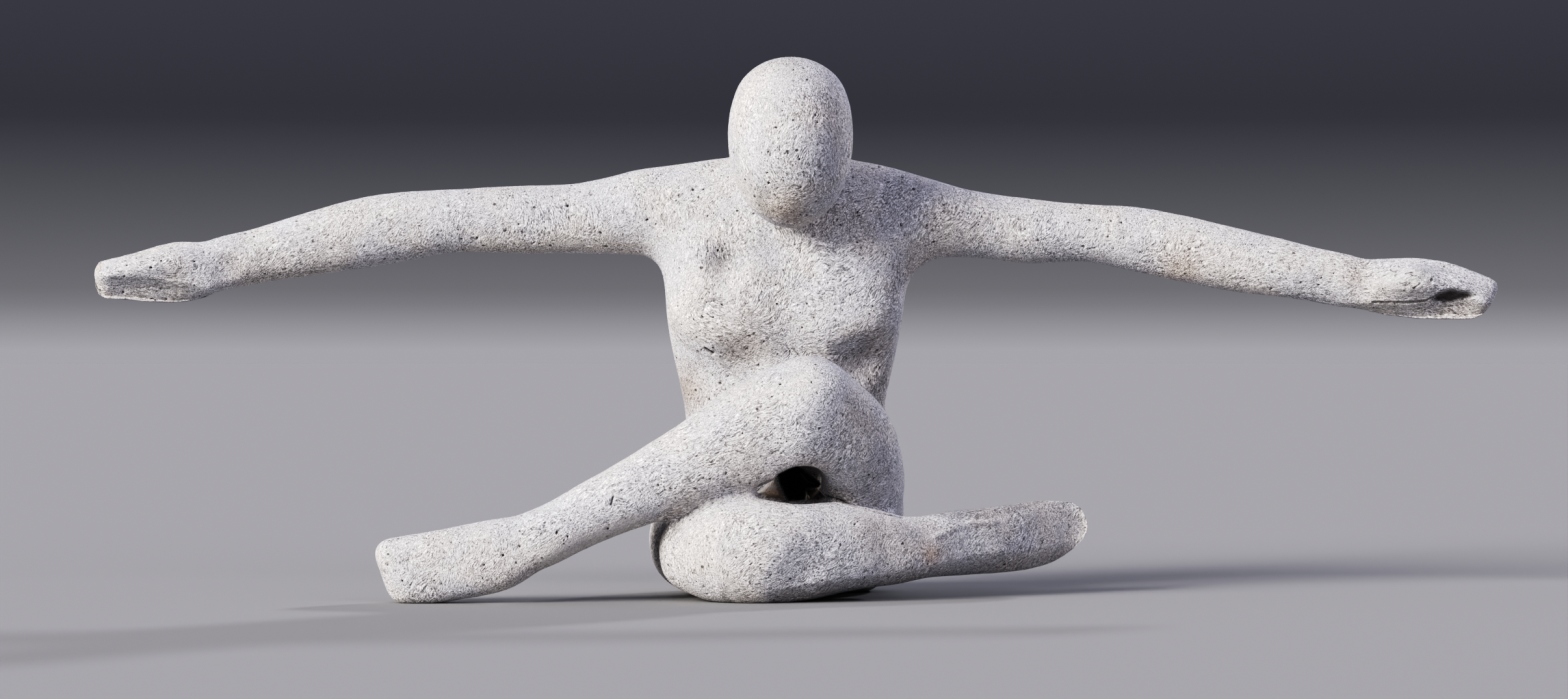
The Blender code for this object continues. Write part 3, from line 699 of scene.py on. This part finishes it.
def mesh_object(name, points, faces, layers):
    """An object of a mesh, with values at its points that its material can read."""
    mesh = bpy.data.meshes.new(name)
    mesh.from_pydata(points.tolist(), [], faces.tolist())
    mesh.shade_smooth()
    for layer, values in layers.items():
        mesh.attributes.new(layer, "FLOAT", "POINT").data.foreach_set("value", values.astype(np.float32))
    obj = bpy.data.objects.new(name, mesh)
    bpy.context.scene.collection.objects.link(obj)
    return obj


def thinned(obj, triangles):
    """Keeps at most so many triangles: small where the stone is finely carved, larger where it is plain."""
    thin = obj.modifiers.new("thin", "DECIMATE")
    thin.ratio = triangles / len(obj.data.polygons)
    bpy.context.view_layer.update()
    mesh = bpy.data.meshes.new_from_object(obj.evaluated_get(bpy.context.evaluated_depsgraph_get()))
    mesh.name = obj.name
    obj.modifiers.clear()
    obj.data = mesh
    mesh.shade_smooth()


class Graph:
    """Builds the nodes of one material."""

    def __init__(self, name):
        self.material = bpy.data.materials.new(name)
        self.material.use_nodes = True
        self.tree = self.material.node_tree
        self.shader = self.tree.nodes["Principled BSDF"]

    def node(self, kind, *inputs, **settings):
        """Adds a node. An input is a socket to link, a value to set, or None to leave."""
        node = self.tree.nodes.new(kind)
        for setting, value in settings.items():
            setattr(node, setting, value)
        for socket, value in zip(node.inputs, inputs):
            self.feed(socket, value)
        return node

    def feed(self, socket, value):
        if isinstance(value, bpy.types.NodeSocket):
            self.tree.links.new(value, socket)
        elif value is not None:
            socket.default_value = value

    def math(self, operation, *inputs, clamp=False):
        return self.node("ShaderNodeMath", *inputs, operation=operation, use_clamp=clamp).outputs[0]

    def vector(self, operation, *inputs):
        return self.node("ShaderNodeVectorMath", *inputs, operation=operation).outputs[0]

    def scaled(self, vector, factors):
        return self.vector("MULTIPLY", vector, factors)

    def attribute(self, name):
        return self.node("ShaderNodeAttribute", attribute_name=name).outputs["Fac"]

    def noise(self, vector, scale, detail=2.0, roughness=0.5, distortion=0.0):
        node = self.node("ShaderNodeTexNoise", vector)
        node.inputs["Scale"].default_value = scale
        node.inputs["Detail"].default_value = detail
        node.inputs["Roughness"].default_value = roughness
        node.inputs["Distortion"].default_value = distortion
        return node.outputs["Fac"]

    def cells(self, vector, scale):
        """Voronoi cells: each with its distance, a random colour and its middle."""
        node = self.node("ShaderNodeTexVoronoi", vector)
        node.inputs["Scale"].default_value = scale
        return node

    def between(self, value, low, high, smooth=True):
        """0 below low, 1 above high, and a ramp between them."""
        kind = "SMOOTHSTEP" if smooth else "LINEAR"
        node = self.node("ShaderNodeMapRange", value, low, high, interpolation_type=kind)
        return node.outputs[0]

    def swing(self, value, amount):
        """A factor near 1 that follows a noise value of mean one half."""
        return self.math("MULTIPLY_ADD", self.math("SUBTRACT", value, 0.5), amount, 1.0)

    def blend(self, factor, one, two):
        node = self.node("ShaderNodeMix", data_type="RGBA")
        self.feed(node.inputs["Factor"], factor)
        self.feed(node.inputs["A"], one)
        self.feed(node.inputs["B"], two)
        return node.outputs["Result"]


def stroke_layer(graph, place, patch_scale, spread, grain, shift):
    """Short tool strokes in patches. Each patch turns its strokes a little away from the named direction."""
    moved = graph.vector("ADD", place, (shift, shift * 0.7, shift * 1.3))
    wander = graph.node("ShaderNodeTexNoise", moved)
    wander.inputs["Scale"].default_value = 60
    drift = graph.vector("SUBTRACT", wander.outputs["Color"], (0.5, 0.5, 0.5))
    drift = graph.scaled(drift, (0.012, 0.012, 0.012))
    moved = graph.vector("ADD", moved, drift)
    patches = graph.cells(moved, patch_scale)
    chance = graph.node("ShaderNodeSeparateColor", patches.outputs["Color"]).outputs[0]
    angle = graph.math("MULTIPLY_ADD", graph.math("SUBTRACT", chance, 0.5), spread, graph.attribute("turn"))
    local = graph.vector("SUBTRACT", moved, patches.outputs["Position"])
    turned = graph.node("ShaderNodeVectorRotate", local, rotation_type="Y_AXIS")
    graph.feed(turned.inputs["Angle"], angle)
    apart = graph.scaled(patches.outputs["Color"], (3.0, 3.0, 3.0))
    stretched = graph.scaled(graph.vector("ADD", turned.outputs[0], apart), grain)
    return graph.noise(stretched, 1.0, detail=2.0, roughness=0.6)


def specks(graph, place, scale, reach, share):
    """Small dark spots, one in some of the cells of a pattern."""
    cells = graph.cells(place, scale)
    chance = graph.node("ShaderNodeSeparateColor", cells.outputs["Color"]).outputs[1]
    size = graph.math("MULTIPLY", graph.between(chance, 1 - share, 1.0, smooth=False), reach)
    beyond = graph.math("SUBTRACT", cells.outputs["Distance"], size)
    return graph.math("SUBTRACT", 1.0, graph.between(beyond, 0.0, 0.07))


def stone_material():
    """Pale sandstone: fine grain, tool strokes, black pores, the stains and bruises of the photograph, and
    painted shade and light.
    """
    graph = Graph("sandstone")
    place = graph.node("ShaderNodeTexCoord").outputs["Object"]
    dirt = graph.attribute("dirt")
    pale = graph.attribute("pale")
    rust = graph.attribute("rust")

    # Grain that leans with the tool, longer strokes in some patches, and long bright scratches
    lean = stroke_layer(graph, place, 62, 0.8, LEAN_GRAIN, 0.0)
    long = stroke_layer(graph, place, 48, 1.0, LONG_GRAIN, 3.1)
    scratch = stroke_layer(graph, place, 40, 1.2, SCRATCH_GRAIN, 6.4)
    grain = graph.noise(place, 2100, detail=1.0, roughness=0.6)
    dark_grain = graph.math("SUBTRACT", 1.0, graph.between(lean, 0.33, 0.49))
    bright_grain = graph.between(lean, 0.52, 0.68)
    scratched = graph.between(scratch, 0.66, 0.74)

    # Broad and middling mottling, patch by patch
    broad = graph.noise(place, 28, detail=3.0)
    middling = graph.noise(place, 230, detail=3.0, roughness=0.65)
    busy = graph.between(graph.noise(place, 45, detail=2.0), 0.40, 0.62)

    shade = graph.math("MULTIPLY", graph.swing(broad, 0.20), graph.swing(middling, 0.32))
    shade = graph.math("MULTIPLY", shade, graph.math("MULTIPLY_ADD", dark_grain, -0.58, 1.12))
    shade = graph.math("MULTIPLY", shade, graph.math("MULTIPLY_ADD", bright_grain, 0.34, 1.0))
    long_depth = graph.math("MULTIPLY_ADD", busy, 2.0, 1.0)
    long_shade = graph.math("MULTIPLY_ADD", graph.math("SUBTRACT", long, 0.5), long_depth, 1.0)
    shade = graph.math("MULTIPLY", shade, long_shade)
    shade = graph.math("MULTIPLY", shade, graph.swing(grain, 2.0))
    shade = graph.math("MULTIPLY_ADD", scratched, 0.12, shade)

    # The stone's own colour drifts between a warm and a cool grey
    tint = graph.blend(graph.between(graph.noise(place, 36, detail=2.0), 0.35, 0.65), WARM_STONE, COOL_STONE)
    lit = graph.node("ShaderNodeVectorMath", tint, operation="SCALE")
    graph.feed(lit.inputs["Scale"], shade)
    colour = lit.outputs[0]

    # Fine pores are too many to carve: they are only painted and bumped
    ragged = graph.node("ShaderNodeTexNoise", place)
    ragged.inputs["Scale"].default_value = 1400
    bent = graph.vector("ADD", place, graph.scaled(ragged.outputs["Color"], (0.0008, 0.0008, 0.0008)))
    small = specks(graph, bent, 460, 0.20, 0.45)
    medium = specks(graph, graph.scaled(bent, (0.8, 1.0, 1.0)), 210, 0.11, 0.35)
    pores = graph.math("MAXIMUM", graph.math("MULTIPLY", small, 0.55), graph.math("MULTIPLY", medium, 0.8))

    # Paler stone where chipped or peeled, and painted light on ridges, crumbs, the gap's lit wall and the
    # raised shin's underside
    colour = graph.blend(graph.math("MULTIPLY", pale, 0.7, clamp=True), colour, PALE_AND_LIT_STONE)
    rusty = graph.scaled(colour, RUST_TINT)
    colour = graph.blend(graph.math("MULTIPLY", rust, 0.75, clamp=True), colour, rusty)
    colour = graph.blend(pores, colour, PORE_AND_SHADE_COLOUR)
    # Painted shade, with some dirt in pores and cracks: the gap's black, the dark in pores, cracks and
    # creases, and the darker palms, undersides and spots
    colour = graph.blend(graph.math("MINIMUM", dirt, 1.0), colour, PORE_AND_SHADE_COLOUR)
    graph.feed(graph.shader.inputs["Base Color"], colour)

    height = graph.math("MULTIPLY_ADD", lean, 1.1, graph.math("MULTIPLY", grain, 0.4))
    height = graph.math("MULTIPLY_ADD", graph.math("MULTIPLY", long, long_depth), 0.5, height)
    height = graph.math("MULTIPLY_ADD", scratched, 0.3, height)
    height = graph.math("MULTIPLY_ADD", middling, 0.5, height)
    height = graph.math("MULTIPLY_ADD", pores, -1.2, height)
    bump = graph.node("ShaderNodeBump")
    bump.inputs["Strength"].default_value = 1.0
    bump.inputs["Distance"].default_value = BUMP_DEPTH
    graph.feed(bump.inputs["Height"], height)
    graph.feed(graph.shader.inputs["Normal"], bump.outputs[0])
    graph.shader.inputs["Roughness"].default_value = 0.9
    graph.shader.inputs["Specular IOR Level"].default_value = 0.25
    return graph.material


def carve_figure():
    """The stone figure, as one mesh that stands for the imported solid."""
    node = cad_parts["figure"]
    points, triangles, layers = carved(*smooth_skin(*remeshed(node)))
    figure = mesh_object("stone_figure", points, triangles, layers)
    thinned(figure, TRIANGLES)
    figure.data.materials.append(stone_material())
    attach(figure, "root")
    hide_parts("figure")


def add_floor():
    mesh = bpy.data.meshes.new("floor")
    bm = bmesh.new()
    bmesh.ops.create_circle(bm, cap_ends=True, segments=96, radius=FLOOR_RADIUS)
    bm.to_mesh(mesh)
    bm.free()
    floor = bpy.data.objects.new("floor", mesh)
    bpy.context.scene.collection.objects.link(floor)
    material = bpy.data.materials.new("pale_floor")
    material.use_nodes = True
    shader = material.node_tree.nodes["Principled BSDF"]
    shader.inputs["Base Color"].default_value = FLOOR_COLOUR
    shader.inputs["Roughness"].default_value = 1
    shader.inputs["Specular IOR Level"].default_value = 0
    mesh.materials.append(material)


def add_sun(name, azimuth, elevation, strength, softness, colour):
    """A far soft light. Azimuth 0 is behind the camera, and it grows to the camera's right, in degrees."""
    data = bpy.data.lights.new(name, "SUN")
    data.energy = strength
    data.angle = math.radians(softness)
    data.color = colour
    light = bpy.data.objects.new(name, data)
    across, up = math.radians(azimuth), math.radians(elevation)
    towards = Vector((math.sin(across) * math.cos(up), -math.cos(across) * math.cos(up), math.sin(up)))
    light.rotation_euler = towards.to_track_quat("Z", "Y").to_euler()
    bpy.context.scene.collection.objects.link(light)


def add_lights():
    add_sun("key", azimuth=-54, elevation=22, strength=4.3, softness=28, colour=(1.0, 0.965, 0.93))
    add_sun("fill", azimuth=42, elevation=26, strength=0.40, softness=34, colour=(0.82, 0.81, 1.0))
    add_sun("rim", azimuth=140, elevation=25, strength=1.2, softness=6, colour=(0.92, 0.93, 1.0))


def add_world():
    """A soft studio: as bright as the floor at the horizon, dark just above it, and lighter overhead."""
    world = bpy.data.worlds.new("studio")
    bpy.context.scene.world = world
    world.use_nodes = True
    nodes, links = world.node_tree.nodes, world.node_tree.links
    background = nodes["Background"]
    place = nodes.new("ShaderNodeTexCoord")
    split = nodes.new("ShaderNodeSeparateXYZ")
    ramp = nodes.new("ShaderNodeValToRGB")
    links.new(place.outputs["Generated"], split.inputs["Vector"])
    links.new(split.outputs["Z"], ramp.inputs["Fac"])
    links.new(ramp.outputs["Color"], background.inputs["Color"])
    stops = ramp.color_ramp.elements
    for position, _ in STUDIO[1:-1]:
        stops.new(position)
    for stop, (position, colour) in zip(stops, STUDIO):
        stop.position = position
        stop.color = colour
    add_tone_curve()


def add_tone_curve():
    """A photographic curve: deeper shadows, and highlights that are held back."""
    view = bpy.context.scene.view_settings
    view.view_transform = "Standard"
    view.use_curve_mapping = True
    curve = view.curve_mapping.curves[3]
    for shade, shown in TONES[1:-1]:
        curve.points.new(shade, shown)
    for point, (shade, shown) in zip(curve.points, TONES):
        point.location = (shade, shown)
    view.curve_mapping.use_clip = False
    view.curve_mapping.update()


add_camera()
carve_figure()
add_floor()
add_lights()
add_world()
